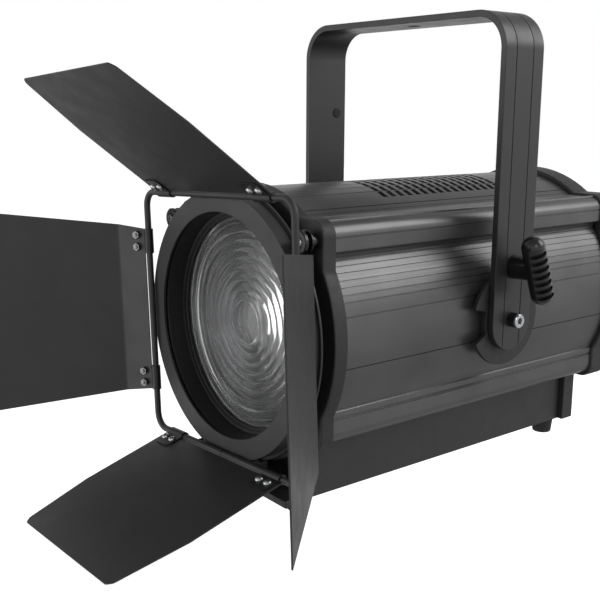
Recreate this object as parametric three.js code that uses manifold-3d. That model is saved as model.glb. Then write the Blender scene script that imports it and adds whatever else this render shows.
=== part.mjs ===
// Fresnel spotlight: a zoom light head that tilts in a yoke, with a four-leaf barn door.
// Millimetres, +Z up. The origin is the middle of the yoke's top face, where the light hangs.
// Inside the main group everything is placed from the tilt axis: +X towards the clamp lever,
// the lens looking along -Y.

import * as THREE from 'three';
import { mergeVertices } from 'three/addons/utils/BufferGeometryUtils.js';
import Module from 'manifold-3d';

const wasm = await Module();
wasm.setup();

// ---------------------------------------------------------------- driving dimensions

const GAP = 0.3;                  // left between pieces that touch
const DEG = Math.PI / 180;

const YOKE_TOP = 268;             // tilt axis to the yoke's top face
const YOKE_HALF = 134;            // tilt centre to the arms' outer faces
const YOKE_BAR = 6;               // thickness of the flat bar
const YOKE_WIDTH = 50;            // width of the flat bar
const YOKE_BEND = 33;             // outer radius of the bends
const HANG_HOLE_R = 6.5;

const PIVOT_R = 4;                // M8 tilt screws
const PIVOT_HEAD_R = 6.5;
const PIVOT_HEAD = 8;
const LEVER_Z = 48;               // clamp lever axis above the tilt axis
const LEVER_LEAN = 20 * DEG;
const LEVER_GRIP = { x: 159.5, r: 10.3, length: 65 };
const DISC_R = 43;
const DISC_BOSS_R = 25;
const DISC_FACE = 127.6;          // the disc's face beside the yoke arm
const DISC_RIM = 4.1;             // thickness of the disc's rim
const SHOE = { half: 11, low: 37.5, high: 57, thick: 4.6 };

const BODY_R = 118.5;             // round part of the housing
const BODY = { half: 104.5, top: 98, bottom: -88, corner: 12 };
const CAP_R = 123;
const CAP = { half: 107, top: 100.5, bottom: -92, corner: 14 };
const WALL = 3;
const BODY_FRONT = -184;
const FRONT_FACE = -198;
const BODY_REAR = 168;
const REAR_FACE = 194;
const COVER_HALF = 64;            // half width of the top cover
const BASE_HALF = 90;             // half width of the bottom plate

const PANEL_Y = 184;              // outer face of the rear panel
const INLET = { x: -62, z: -50, halfX: 14.2, halfZ: 11.7, reach: 22, flange: 2.5 };
const DATA = { x: 30, z: -50, halfX: 33.6, halfZ: 13.6, reach: 20, flange: 3, spread: 18, hole: 9.5 };
const DISPLAY = { x: 0, z: 36, halfX: 31.6, halfZ: 13.6 };
const BUTTON = { r: 4.9, z: 2, count: 4, pitch: 20 };
const EYE = { r: 11, wire: 2.5, z: 84 };

const SLOTS = { rows: 16, pitch: 10.4, width: 5, reach: 24.7 * DEG, rib: 1.6 * DEG, ribs: 4 };

const BOX = { half: 82, bottom: -139, wall: 2, front: -202.5, rear: 150 };
const BOX_CAP = { half: 88, depth: 17, saddle: 40 };
const FOOT = { r: 11, taper: 1.5, height: 13.5, front: { x: 66.5, y: -190.5 }, rear: { x: 71, y: 138.5 } };

const BARREL = { r: 105, bore: 99, front: -219, shoulder: 90 };
const LENS = { r: 95, edge: 88.6, steps: 8, face: -197, back: -190, flat: 21 };
const RING = { r: 117.7, hole: 99, face: -223.3, rear: -208, wall: 2, flange: 120.5 };
const ROLLER = { centre: 127.8, angle: 41 * DEG, r: 9.6, groove: 6.4, front: -214.5 };

const ROD_R = 3;
const FRAME_HALF = 113.85;        // middle of a rod from the lens axis
const FRAME_BEND = 14;
const FRAME_Y = -226.9;
const FRAME_TURN = -2.93 * DEG;

const LEAF = 1.2;                 // sheet thickness of the leaves
const LEAF_START = 4.6;           // rod centre to the leaf's inner edge
const WIDE_LEAF = { hinge: 91.5, kinkAt: 93.3, kink: 89.7, length: 159.7, tip: 79.4, chamfer: 6 };
const SIDE_LEAF = { hinge: 77.9, foldAt: 34.9, fold: 81.9, bend: 28.9 * DEG, length: 127.8, tip: 97.6 };
const OPEN = { top: 37.7 * DEG, bottom: 16.2 * DEG, left: 62.9 * DEG, right: 72.5 * DEG };
const SLID = { top: 0, bottom: 0, left: 1, right: 7 };
const CLIP = { width: 23, length: 16, sheet: 1.2, wideAt: 76, sideAt: 66.3 };

const RAIL = { x: 62, z: -30, r: 4, front: -150, rear: 120, post: 8 };
const SCREW = { z: -62, r: 3.8 };
const CARRIAGE = { y: 0, thick: 6, width: 176, top: 70, bottom: -78 };
const SINK = { half: 62, depth: 52, fins: 11, fin: 2.4, base: 8, low: -15, high: 64 };
const FAN = { half: 46, depth: 20, duct: 43, hub: 16, blades: 7 };

/** Middle of a menu button, counted from the left as seen from the front. */
const buttonX = (k) => (k - (BUTTON.count - 1) / 2) * BUTTON.pitch;

// ---------------------------------------------------------------- materials

function look(color, roughness, metalness) {
  return new THREE.MeshStandardMaterial({ color, roughness, metalness });
}
const powder = look(0x303032, 0.72, 0.1);
const anodised = look(0x2b2b2d, 0.38, 0.6);
const plastic = look(0x1d1d1f, 0.5, 0);
const glossy = look(0x151516, 0.28, 0);
const rubber = look(0x111111, 0.85, 0);
const zinc = look(0xb9bbbf, 0.3, 1);
const steel = look(0x8c8f94, 0.35, 1);
const bare = look(0xa9acb0, 0.45, 0.9);
const glass = look(0xdfe6ea, 0.05, 0);
const emitterYellow = look(0xe2c23c, 0.6, 0);
const boardGreen = look(0x1f5a36, 0.6, 0);
const screenBlue = look(0x20303a, 0.15, 0);

// ---------------------------------------------------------------- geometry helpers

/** A geometry with position only, merged vertices, and faces pointing out. */
function closed(geometry) {
  const plain = geometry.clone();
  for (const name of Object.keys(plain.attributes)) {
    if (name !== 'position') plain.deleteAttribute(name);
  }
  const merged = mergeVertices(plain, 1e-4);
  const p = merged.attributes.position;
  const index = merged.index.array;
  const a = new THREE.Vector3();
  const b = new THREE.Vector3();
  const c = new THREE.Vector3();
  let volume = 0;
  for (let i = 0; i < index.length; i += 3) {
    a.fromBufferAttribute(p, index[i]);
    b.fromBufferAttribute(p, index[i + 1]);
    c.fromBufferAttribute(p, index[i + 2]);
    volume += a.dot(b.cross(c));
  }
  if (volume < 0) {
    for (let i = 0; i < index.length; i += 3) {
      const keep = index[i];
      index[i] = index[i + 1];
      index[i + 1] = keep;
    }
  }
  return merged;
}

/** A closed geometry as a solid for cutting and joining. */
function solid(geometry) {
  const g = closed(geometry);
  return new wasm.Manifold(new wasm.Mesh({
    numProp: 3,
    vertProperties: new Float32Array(g.attributes.position.array),
    triVerts: new Uint32Array(g.index.array),
  }));
}

/** A solid back as a geometry. */
function geometryOf(manifold) {
  const m = manifold.getMesh();
  const g = new THREE.BufferGeometry();
  g.setAttribute('position', new THREE.BufferAttribute(m.vertProperties, 3));
  g.setIndex(new THREE.BufferAttribute(m.triVerts, 1));
  g.computeVertexNormals();
  return g;
}

const join = (...pieces) => geometryOf(pieces.map(solid).reduce((sum, piece) => sum.add(piece)));
function cut(base, ...tools) {
  return geometryOf(tools.map(solid).reduce((rest, tool) => rest.subtract(tool), solid(base)));
}
const common = (a, b) => geometryOf(solid(a).intersect(solid(b)));

const box = (x0, x1, y0, y1, z0, z1) => new THREE.BoxGeometry(x1 - x0, y1 - y0, z1 - z0)
  .translate((x0 + x1) / 2, (y0 + y1) / 2, (z0 + z1) / 2);

const extrude = (shape, depth, curveSegments = 16) => new THREE.ExtrudeGeometry(shape, {
  depth, bevelEnabled: false, curveSegments,
});

/** An outline in (x, z), standing between two planes of y. */
function alongY(shape, y0, y1, segments) {
  return extrude(shape, y1 - y0, segments).rotateX(Math.PI / 2).translate(0, y1, 0);
}

/** An outline in (y, z), standing between two planes of x. */
const alongX = (shape, x0, x1, segments) => extrude(shape, x1 - x0, segments)
  .applyMatrix4(new THREE.Matrix4().set(0, 0, 1, x0, 1, 0, 0, 0, 0, 1, 0, 0, 0, 0, 0, 1));

const rodX = (r, x0, x1, y = 0, z = 0, sides = 24) => new THREE.CylinderGeometry(r, r, x1 - x0, sides)
  .rotateZ(Math.PI / 2).translate((x0 + x1) / 2, y, z);
const rodY = (r, y0, y1, x = 0, z = 0, sides = 24) => new THREE.CylinderGeometry(r, r, y1 - y0, sides)
  .translate(x, (y0 + y1) / 2, z);
const rodZ = (r, z0, z1, x = 0, y = 0, sides = 24) => new THREE.CylinderGeometry(r, r, z1 - z0, sides)
  .rotateX(Math.PI / 2).translate(x, y, (z0 + z1) / 2);

/** A profile of [radius, y] points turned about the lens axis. */
const turned = (points, sides = 64) => closed(
  new THREE.LatheGeometry(points.map(([r, y]) => new THREE.Vector2(r, y)), sides));

const ring = (outer, inner, y0, y1, sides) => turned(
  [[inner, y0], [outer, y0], [outer, y1], [inner, y1], [inner, y0]], sides);

/** A rectangle with round corners, in the outline's own plane. */
function roundRect(x0, x1, y0, y1, r) {
  const shape = new THREE.Shape();
  shape.absarc(x1 - r, y1 - r, r, 0, Math.PI / 2);
  shape.absarc(x0 + r, y1 - r, r, Math.PI / 2, Math.PI);
  shape.absarc(x0 + r, y0 + r, r, Math.PI, Math.PI * 1.5);
  shape.absarc(x1 - r, y0 + r, r, Math.PI * 1.5, Math.PI * 2);
  return shape;
}

/** The housing's section: a circle about the lens axis joined to a round-cornered rectangle. */
function bodySolid(r, rect, y0, y1, inset = 0, flatBottom = true) {
  const shape = roundRect(-rect.half + inset, rect.half - inset, rect.bottom + inset, rect.top - inset,
    rect.corner - inset);
  const round = rodY(r - inset, y0, y1, 0, 0, 64);
  const low = rect.bottom + inset;
  const kept = flatBottom ? cut(round, box(-r, r, y0 - 1, y1 + 1, -r - 1, low)) : round;
  return join(kept, alongY(shape, y0, y1, 6));
}

// ---------------------------------------------------------------- the scene

const light = new THREE.Group();
const lamp = new THREE.Group();
lamp.position.z = -YOKE_TOP;
light.add(lamp);

function add(name, geometry, material, parent = lamp) {
  const mesh = new THREE.Mesh(geometry, material);
  mesh.name = name;
  parent.add(mesh);
  return mesh;
}

const SIDES = [['right', 1], ['left', -1]];

// ---------------------------------------------------------------- yoke and tilt clamp

function yokeBracket() {
  const bottom = -60;
  const outer = new THREE.Shape();
  outer.moveTo(YOKE_HALF, bottom);
  outer.absarc(YOKE_HALF - YOKE_BEND, YOKE_TOP - YOKE_BEND, YOKE_BEND, 0, Math.PI / 2);
  outer.absarc(-YOKE_HALF + YOKE_BEND, YOKE_TOP - YOKE_BEND, YOKE_BEND, Math.PI / 2, Math.PI);
  outer.lineTo(-YOKE_HALF, bottom);
  const inside = YOKE_BEND - YOKE_BAR;
  outer.lineTo(-YOKE_HALF + YOKE_BAR, bottom);
  outer.absarc(-YOKE_HALF + YOKE_BEND, YOKE_TOP - YOKE_BEND, inside, Math.PI, Math.PI / 2, true);
  outer.absarc(YOKE_HALF - YOKE_BEND, YOKE_TOP - YOKE_BEND, inside, Math.PI / 2, 0, true);
  outer.lineTo(YOKE_HALF - YOKE_BAR, bottom);
  const half = YOKE_WIDTH / 2;
  const face = new THREE.Shape();
  face.moveTo(half, YOKE_TOP + 1);
  face.lineTo(-half, YOKE_TOP + 1);
  face.absarc(0, -3, half, Math.PI, Math.PI * 2);
  const bar = common(alongY(outer, -half, half, 8), alongX(face, -YOKE_HALF - 1, YOKE_HALF + 1, 10));
  const inner = YOKE_HALF - YOKE_BAR;
  return cut(bar,
    rodZ(HANG_HOLE_R, YOKE_TOP - YOKE_BAR - 1, YOKE_TOP + 1),
    rodX(PIVOT_R + 0.4, inner - 1, YOKE_HALF + 1),
    rodX(PIVOT_R + 0.4, -YOKE_HALF - 1, -inner + 1),
    rodX(PIVOT_R + 0.4, inner - 1, YOKE_HALF + 1, 0, LEVER_Z));
}
add('yoke_bracket', yokeBracket(), powder);

/** The disc between an arm and the housing: a boss that fits the round side, and a notched rim. */
function tiltDisc(side) {
  const rimIn = DISC_FACE - DISC_RIM;
  const boss = cut(rodX(DISC_BOSS_R, 100, rimIn + 0.5, 0, 0, 32),
    rodY(BODY_R + 2 * GAP, -60, 60, 0, 0, 64));
  const notch = new THREE.Shape();
  notch.absarc(0, 0, DISC_R + 2, Math.PI - 16 * DEG, Math.PI + 24 * DEG);
  notch.absarc(0, 0, 28, Math.PI + 28 * DEG, Math.PI - 18 * DEG, true);
  const rim = cut(rodX(DISC_R, rimIn, DISC_FACE, 0, 0, 56), alongX(notch, rimIn - 1, DISC_FACE + 1));
  const disc = cut(join(boss, rim), rodX(PIVOT_R + GAP, 100, DISC_FACE + 1, 0, 0, 24));
  if (side > 0) return disc;
  return closed(disc.scale(-1, 1, 1));
}

/** A socket-head screw and its washer, on the tilt axis. */
function pivotScrew(side) {
  const seat = YOKE_HALF + GAP;
  const washer = rodX(8, seat, seat + 1.4);
  const head = cut(rodX(PIVOT_HEAD_R, seat + 1, seat + 1.4 + PIVOT_HEAD, 0, 0, 32),
    rodX(3.5, seat + 5, seat + 10.4, 0, 0, 6));
  const shank = rodX(PIVOT_R, BODY_R + 1.2, seat + 1.2);
  const screw = join(washer, head, shank);
  if (side > 0) return screw;
  return closed(screw.scale(-1, 1, 1));
}

for (const [name, side] of SIDES) {
  add(`tilt_disc_${name}`, tiltDisc(side), anodised);
  add(`pivot_screw_${name}`, pivotScrew(side), zinc);
}

/** A bar grip across a round hub, with its threaded stud; modelled on its own axis. */
function clampLever() {
  const half = LEVER_GRIP.length / 2 - LEVER_GRIP.r;
  const grip = new THREE.CapsuleGeometry(LEVER_GRIP.r, 2 * half, 6, 20)
    .rotateX(Math.PI / 2 + LEVER_LEAN).translate(LEVER_GRIP.x, 0, 0);
  const hub = rodX(9, YOKE_HALF + GAP, LEVER_GRIP.x, 0, 0, 24);
  const stud = rodX(PIVOT_R, 123.4, YOKE_HALF + 2, 0, 0, 16);
  return join(grip, hub, stud);
}
add('clamp_lever', clampLever(), glossy).position.set(0, 0, LEVER_Z);

/** The plate that the stud draws against the back of the disc's rim. */
function clampShoe() {
  const { half, low, high, thick } = SHOE;
  const outFace = DISC_FACE - DISC_RIM - GAP;
  const plate = box(outFace - thick, outFace, -half, half, low, high);
  const spacer = box(outFace - 0.5, YOKE_HALF - YOKE_BAR - GAP, -half + 3, half - 3, DISC_R + 1, high);
  return cut(join(plate, spacer), rodX(PIVOT_R + GAP, outFace - 0.4, 130, 0, LEVER_Z, 16));
}
add('clamp_shoe', clampShoe(), steel);

// ---------------------------------------------------------------- housing

function housingTube() {
  return cut(bodySolid(BODY_R, BODY, BODY_FRONT + GAP, BODY_REAR - GAP),
    bodySolid(BODY_R, BODY, BODY_FRONT - 5, BODY_REAR + 5, WALL));
}

const tube = housingTube();
const slabTop = box(-COVER_HALF, COVER_HALF, -300, 300, 0, 200);

function topCover() {
  const tools = [];
  const ribStep = 2 * SLOTS.reach / SLOTS.ribs;
  for (let row = 0; row < SLOTS.rows; row += 1) {
    const y = (row - (SLOTS.rows - 1) / 2) * SLOTS.pitch;
    for (let k = 0; k < SLOTS.ribs; k += 1) {
      const from = -SLOTS.reach + k * ribStep + SLOTS.rib / 2;
      const to = from + ribStep - SLOTS.rib;
      const wedge = new THREE.Shape();
      wedge.absarc(0, 0, BODY_R + 4, Math.PI / 2 - to, Math.PI / 2 - from);
      wedge.absarc(0, 0, BODY_R - 8, Math.PI / 2 - from, Math.PI / 2 - to, true);
      tools.push(alongY(wedge, y - SLOTS.width / 2, y + SLOTS.width / 2, 1));
    }
  }
  return cut(common(tube, slabTop), ...tools);
}
add('top_cover', topCover(), anodised);

for (const [name, side] of SIDES) {
  const outside = side > 0 ? [COVER_HALF + GAP, 200] : [-200, -COVER_HALF - GAP];
  const above = box(...outside, -300, 300, BODY.bottom + WALL + 5, 200);
  const beside = side > 0 ? [BASE_HALF + GAP, 200] : [-200, -BASE_HALF - GAP];
  const below = box(...beside, -300, 300, -200, BODY.bottom + WALL + 6);
  add(`side_panel_${name}`, common(tube, join(above, below)), anodised);
}
const baseRegion = box(-BASE_HALF, BASE_HALF, -300, 300, -200, BODY.bottom + WALL + 2);
add('bottom_plate', common(tube, baseRegion), powder);

function frontCap() {
  return cut(bodySolid(CAP_R, CAP, FRONT_FACE, BODY_FRONT, 0, false),
    rodY(BARREL.r + 2 * GAP, FRONT_FACE - 1, BODY_FRONT + 1, 0, 0, 56));
}
add('front_cap', frontCap(), plastic);

function rearCap() {
  const recess = bodySolid(CAP_R - 9, CAP, BODY_REAR - 1, REAR_FACE + 1, 9);
  return cut(bodySolid(CAP_R, CAP, BODY_REAR, REAR_FACE), recess);
}
add('rear_cap', rearCap(), plastic);

/** The rear panel sits in the rear cap's recess, with a window for each fitting. */
function rearPanel() {
  const plate = bodySolid(CAP_R - 9, CAP, PANEL_Y - 3, PANEL_Y, 9 + GAP);
  const window = ({ x, z, halfX, halfZ }) => box(x - halfX - GAP, x + halfX + GAP,
    PANEL_Y - 14, PANEL_Y + 16, z - halfZ - GAP, z + halfZ + GAP);
  const tools = [window(INLET), window(DATA), window(DISPLAY)];
  for (let k = 0; k < BUTTON.count; k += 1) {
    tools.push(rodY(BUTTON.r + 0.5, PANEL_Y - 14, PANEL_Y + 16, buttonX(k), BUTTON.z, 20));
  }
  return cut(plate, ...tools);
}
add('rear_panel', rearPanel(), powder);

/** A fitting's body through its window, reaching back into the housing, with a flange outside. */
function fittingBody({ x, z, halfX, halfZ, reach, flange }) {
  const body = box(x - halfX, x + halfX, PANEL_Y - reach, PANEL_Y + 2, z - halfZ, z + halfZ);
  return join(body, box(x - halfX - flange, x + halfX + flange, PANEL_Y + GAP, PANEL_Y + 2.4,
    z - halfZ - flange, z + halfZ + flange));
}

add('display_window', box(DISPLAY.x - DISPLAY.halfX, DISPLAY.x + DISPLAY.halfX, PANEL_Y - 4, PANEL_Y + 0.6,
  DISPLAY.z - DISPLAY.halfZ, DISPLAY.z + DISPLAY.halfZ), screenBlue);

/** Round button caps; a flange behind the panel keeps each one in. */
for (let k = 0; k < BUTTON.count; k += 1) {
  const cap = join(rodY(BUTTON.r, PANEL_Y - 5, PANEL_Y + 3, 0, 0, 20),
    rodY(BUTTON.r + 1.7, PANEL_Y - 5, PANEL_Y - 3.4, 0, 0, 20));
  add(`menu_button_${k + 1}`, cap, glossy).position.set(buttonX(k), 0, BUTTON.z);
}

function powerInlet() {
  const socket = box(INLET.x - 10.5, INLET.x + 10.5, PANEL_Y - 14, PANEL_Y + 5, INLET.z - 7.5, INLET.z + 7.5);
  return cut(fittingBody(INLET), socket);
}
add('power_inlet', powerInlet(), plastic);

function dataSockets() {
  const holes = [-DATA.spread, DATA.spread].map((x) => (
    rodY(DATA.hole, PANEL_Y - 15, PANEL_Y + 5, DATA.x + x, DATA.z, 24)));
  return cut(fittingBody(DATA), ...holes);
}
add('data_sockets', dataSockets(), steel);

/** An upright eye on the rear panel that takes the safety cable. */
function safetyEye() {
  const loop = new THREE.TorusGeometry(EYE.r, EYE.wire, 8, 24).rotateY(Math.PI / 2)
    .translate(0, PANEL_Y + 14.5, EYE.z);
  const foot = box(-7, 7, PANEL_Y + GAP, PANEL_Y + 3, EYE.z - 10, EYE.z + 10);
  return join(loop, foot);
}
add('safety_eye', safetyEye(), steel);

// ---------------------------------------------------------------- driver box under the housing

const BOX_TOP = BODY.bottom - GAP;
const BOX_LOW_TOP = -132;

function boxShell() {
  const outer = join(box(-BOX.half, BOX.half, BODY_FRONT + 0.5, BOX.rear, BOX.bottom, BOX_TOP),
    box(-BOX.half, BOX.half, BOX.front + GAP, BODY_FRONT + 1, BOX.bottom, BOX_LOW_TOP));
  const w = BOX.wall;
  return cut(outer, box(-BOX.half + w, BOX.half - w, BOX.front - 5, BOX.rear + 5, BOX.bottom + w, 0));
}
add('box_shell', boxShell(), powder);

/** The front end block also carries the barn door's flange in a groove along its top edge. */
function boxFrontCap() {
  const front = BOX.front - BOX_CAP.depth;
  const block = box(-BOX_CAP.half, BOX_CAP.half, front, BOX.front, BOX.bottom, -100);
  const seat = rodY(RING.r + 0.8, front - 1, BOX.front + 1, 0, 0, 72);
  const groove = rodY(RING.flange + 0.8, RING.rear - 2.9, BOX.front + 1, 0, 0, 72);
  const lowered = box(-BOX_CAP.half - 1, BOX_CAP.half + 1, front - 1, BOX.front + 1, -112, -90);
  const shoulder = (x0, x1) => box(x0, x1, front - 1, BOX.front + 1, BOX_LOW_TOP, -90);
  const shoulders = [shoulder(-BOX_CAP.half - 1, -BOX_CAP.saddle), shoulder(BOX_CAP.saddle, BOX_CAP.half + 1)];
  const inside = BOX_CAP.saddle - 3;
  const hollow = box(-inside, inside, BOX.front - 9, BOX.front + 1, BOX.bottom + 3, -126);
  return cut(block, seat, groove, lowered, ...shoulders, hollow);
}
add('box_front_cap', boxFrontCap(), plastic);

function boxRearCap() {
  const rear = BOX.rear + BOX_CAP.depth;
  const block = box(-BOX_CAP.half, BOX_CAP.half, BOX.rear + GAP, rear, BOX.bottom, CAP.bottom + 3.7);
  return cut(block, box(-79, 79, BOX.rear - 1, rear - 5, BOX.bottom + 3, CAP.bottom));
}
add('box_rear_cap', boxRearCap(), plastic);

const footNames = [['front_right', 1, FOOT.front], ['front_left', -1, FOOT.front],
  ['rear_right', 1, FOOT.rear], ['rear_left', -1, FOOT.rear]];
for (const [name, side, at] of footNames) {
  const top = BOX.bottom - GAP;
  const foot = new THREE.CylinderGeometry(FOOT.r, FOOT.r - FOOT.taper, FOOT.height, 24)
    .rotateX(Math.PI / 2).translate(0, 0, top - FOOT.height / 2);
  add(`foot_${name}`, foot, rubber).position.set(side * at.x, at.y, 0);
}

add('power_supply', box(-60, 60, -120, 60, BOX.bottom + 5, BOX.bottom + 37), bare);

// ---------------------------------------------------------------- lens and barrel

/** The tube that holds the lens, seated in the front cap, with a shoulder behind the glass. */
function lensBarrel() {
  const { r, bore, front, shoulder } = BARREL;
  const rear = BODY_FRONT - GAP;
  return turned([
    [bore, front], [r, front], [r, rear], [shoulder, rear], [shoulder, LENS.back + GAP],
    [bore, LENS.back + GAP], [bore, front],
  ], 56);
}
add('lens_barrel', lensBarrel(), plastic);

/** Stepped lens: each zone rises in a slope towards the middle and drops in a step. */
function fresnelLens() {
  const points = [[0, LENS.back], [LENS.r, LENS.back], [LENS.r, LENS.face], [LENS.edge, LENS.face]];
  const pitch = (LENS.edge - LENS.flat) / LENS.steps;
  for (let k = LENS.steps; k > 0; k -= 1) {
    const outer = LENS.flat + k * pitch;
    points.push([outer - 0.4, LENS.face + 1.6]);
    points.push([outer - pitch, LENS.face - 0.6]);
  }
  for (const share of [0.75, 0.5, 0.25, 0]) {
    points.push([LENS.flat * share, LENS.face - 0.6 - 2.4 * (1 - share * share)]);
  }
  return turned(points, 36);
}
add('fresnel_lens', fresnelLens(), glass);

add('lens_ring', ring(BARREL.bore - GAP, 93, LENS.face - 4, LENS.face - GAP, 48), plastic);

/** Grooved roller on the front cap that the barn door's flange runs in. */
function roller() {
  const { r, groove, front } = ROLLER;
  return turned([
    [0, front], [r, front], [r, front + 3.6], [groove, front + 3.6], [groove, front + 6.9],
    [r, front + 6.9], [r, front + 8.2], [groove, front + 8.2], [groove, FRONT_FACE - GAP],
    [0, FRONT_FACE - GAP],
  ], 20);
}
for (const [name, side] of SIDES) {
  const x = side * ROLLER.centre * Math.cos(ROLLER.angle);
  add(`ring_roller_${name}`, roller(), plastic).position.set(x, 0, ROLLER.centre * Math.sin(ROLLER.angle));
}

// ---------------------------------------------------------------- barn door

const barnDoor = new THREE.Group();
barnDoor.rotation.y = FRAME_TURN;
lamp.add(barnDoor);

/** Flat front ring, a short wall behind its edge and a flange for the rollers. */
function ringPlate() {
  const { r, hole, face, rear, wall, flange } = RING;
  return turned([
    [hole, face], [r, face], [r, rear - 2], [flange, rear - 2], [flange, rear], [r - wall, rear],
    [r - wall, face + wall], [hole, face + wall], [hole, face],
  ], 56);
}
add('ring_plate', ringPlate(), powder, barnDoor);

/** Bent round rod: a square with round corners, the butt joint at the middle of the lower side. */
function rodFrame() {
  const straight = FRAME_HALF - FRAME_BEND;
  const section = 8;
  const centres = [];
  const normals = [];
  const corner = (sx, sz, from) => {
    for (let k = 0; k <= 4; k += 1) {
      const angle = from + k * 22.5 * DEG;
      normals.push([Math.cos(angle), Math.sin(angle)]);
      const x = sx * straight + FRAME_BEND * Math.cos(angle);
      centres.push([x, sz * straight + FRAME_BEND * Math.sin(angle)]);
    }
  };
  corner(1, 1, 0);
  corner(-1, 1, Math.PI / 2);
  corner(-1, -1, Math.PI);
  corner(1, -1, Math.PI * 1.5);
  const rod = new THREE.TorusGeometry(1, 0.1, section, centres.length).toNonIndexed();
  const bent = mergeVertices(rod.deleteAttribute('normal').deleteAttribute('uv'), 1e-4);
  const p = bent.attributes.position;
  for (let i = 0; i < p.count; i += 1) {
    const around = Math.atan2(p.getY(i), p.getX(i));
    const station = Math.round(around / (2 * Math.PI) * centres.length + centres.length) % centres.length;
    const out = (Math.hypot(p.getX(i), p.getY(i)) - 1) / 0.1 * ROD_R;
    const up = p.getZ(i) / 0.1 * ROD_R;
    const [nx, nz] = normals[station];
    const [cx, cz] = centres[station];
    p.setXYZ(i, cx + out * nx, FRAME_Y + up, cz + out * nz);
  }
  return closed(bent);
}
add('rod_frame', rodFrame(), powder, barnDoor);

/** Plan of a wide leaf: slightly tapered to a kink, then narrowing, with cut corners. */
function wideLeafGeometry() {
  const { hinge, kinkAt, kink, length, tip, chamfer } = WIDE_LEAF;
  const half = [[hinge, LEAF_START], [kink, kinkAt], [tip, length - chamfer], [tip - chamfer, length]];
  const plan = new THREE.Shape([
    ...half.map(([u, v]) => new THREE.Vector2(u, v)),
    ...half.slice().reverse().map(([u, v]) => new THREE.Vector2(-u, v)),
  ]);
  return extrude(plan, LEAF).translate(0, 0, -LEAF / 2);
}

/** A side leaf: a narrow hinge strip, and a panel folded inwards that widens to its edge. */
function sideLeafGeometry() {
  const { hinge, foldAt, fold, bend, length, tip } = SIDE_LEAF;
  const strip = extrude(new THREE.Shape([
    new THREE.Vector2(hinge, LEAF_START), new THREE.Vector2(fold, foldAt),
    new THREE.Vector2(-fold, foldAt), new THREE.Vector2(-hinge, LEAF_START),
  ]), LEAF).translate(0, 0, -LEAF / 2);
  const lap = LEAF / 2 * Math.tan(bend / 2);
  const panel = extrude(new THREE.Shape([
    new THREE.Vector2(fold, -lap), new THREE.Vector2(tip, length),
    new THREE.Vector2(-tip, length), new THREE.Vector2(-fold, -lap),
  ]), LEAF).translate(0, 0, -LEAF / 2).rotateX(bend).translate(0, foldAt, 0);
  return join(strip, panel);
}

/** A sheet clip wrapped round the rod, with its tongue on the leaf's inner or outer face. */
function clipGeometry(u, onInner) {
  const inner = ROD_R + 0.35;
  const outer = inner + CLIP.sheet;
  const wrap = new THREE.Shape();
  wrap.absarc(0, 0, outer, 30 * DEG, 330 * DEG);
  wrap.absarc(0, 0, inner, 330 * DEG, 30 * DEG, true);
  const face = LEAF / 2 + GAP;
  const start = LEAF_START - CLIP.sheet;
  const tongue = box(start, LEAF_START + CLIP.length, 0, CLIP.width, face, face + CLIP.sheet);
  const barrel = extrude(wrap, CLIP.width, 6).rotateX(-Math.PI / 2);
  const placed = join(barrel, tongue).rotateZ(Math.PI / 2).translate(CLIP.width / 2, 0, 0);
  if (!onInner) placed.rotateY(Math.PI);
  return closed(placed).translate(u, 0, 0);
}

// Each leaf hangs in a group on its rod: local x along the rod, y into the leaf, z out of its inner face.
const hinges = {
  top: { turn: 0, leaf: wideLeafGeometry, at: CLIP.wideAt, onInner: true },
  left: { turn: -90 * DEG, leaf: sideLeafGeometry, at: CLIP.sideAt, onInner: false },
  bottom: { turn: 180 * DEG, leaf: wideLeafGeometry, at: CLIP.wideAt, onInner: true },
  right: { turn: 90 * DEG, leaf: sideLeafGeometry, at: CLIP.sideAt, onInner: false },
};

for (const [name, { turn, leaf, at, onInner }] of Object.entries(hinges)) {
  const side = new THREE.Group();
  side.rotation.y = turn;
  barnDoor.add(side);
  const hinge = new THREE.Group();
  hinge.position.set(SLID[name], FRAME_Y, FRAME_HALF);
  hinge.rotation.x = Math.PI - OPEN[name];
  side.add(hinge);
  add(`leaf_${name}`, leaf(), powder, hinge);
  add(`clip_${name}_1`, clipGeometry(-at, onInner), plastic, hinge);
  add(`clip_${name}_2`, clipGeometry(at, onInner), plastic, hinge);
}

// ---------------------------------------------------------------- zoom carriage and its drive

/** A ground rod with the post that stands its front end on the bottom plate. */
function guideRod(side) {
  const x = side * RAIL.x;
  const rod = rodY(RAIL.r, RAIL.front, RAIL.rear, x, RAIL.z, 16);
  const post = box(x - RAIL.post, x + RAIL.post, RAIL.front, RAIL.front + RAIL.post,
    BODY.bottom + WALL + GAP, RAIL.z + RAIL.post);
  return join(rod, post);
}
for (const [name, side] of SIDES) add(`guide_rod_${name}`, guideRod(side), steel);
add('lead_screw', rodY(SCREW.r, RAIL.front, RAIL.rear - 0.5, 0, SCREW.z, 16), steel);
add('zoom_motor', join(box(-21, 21, RAIL.rear, RAIL.rear + 38, SCREW.z - 21, SCREW.z + 21),
  box(-70, 70, RAIL.rear + GAP, RAIL.rear + 4, RAIL.z - 52, RAIL.z + 8)), plastic);

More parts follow.
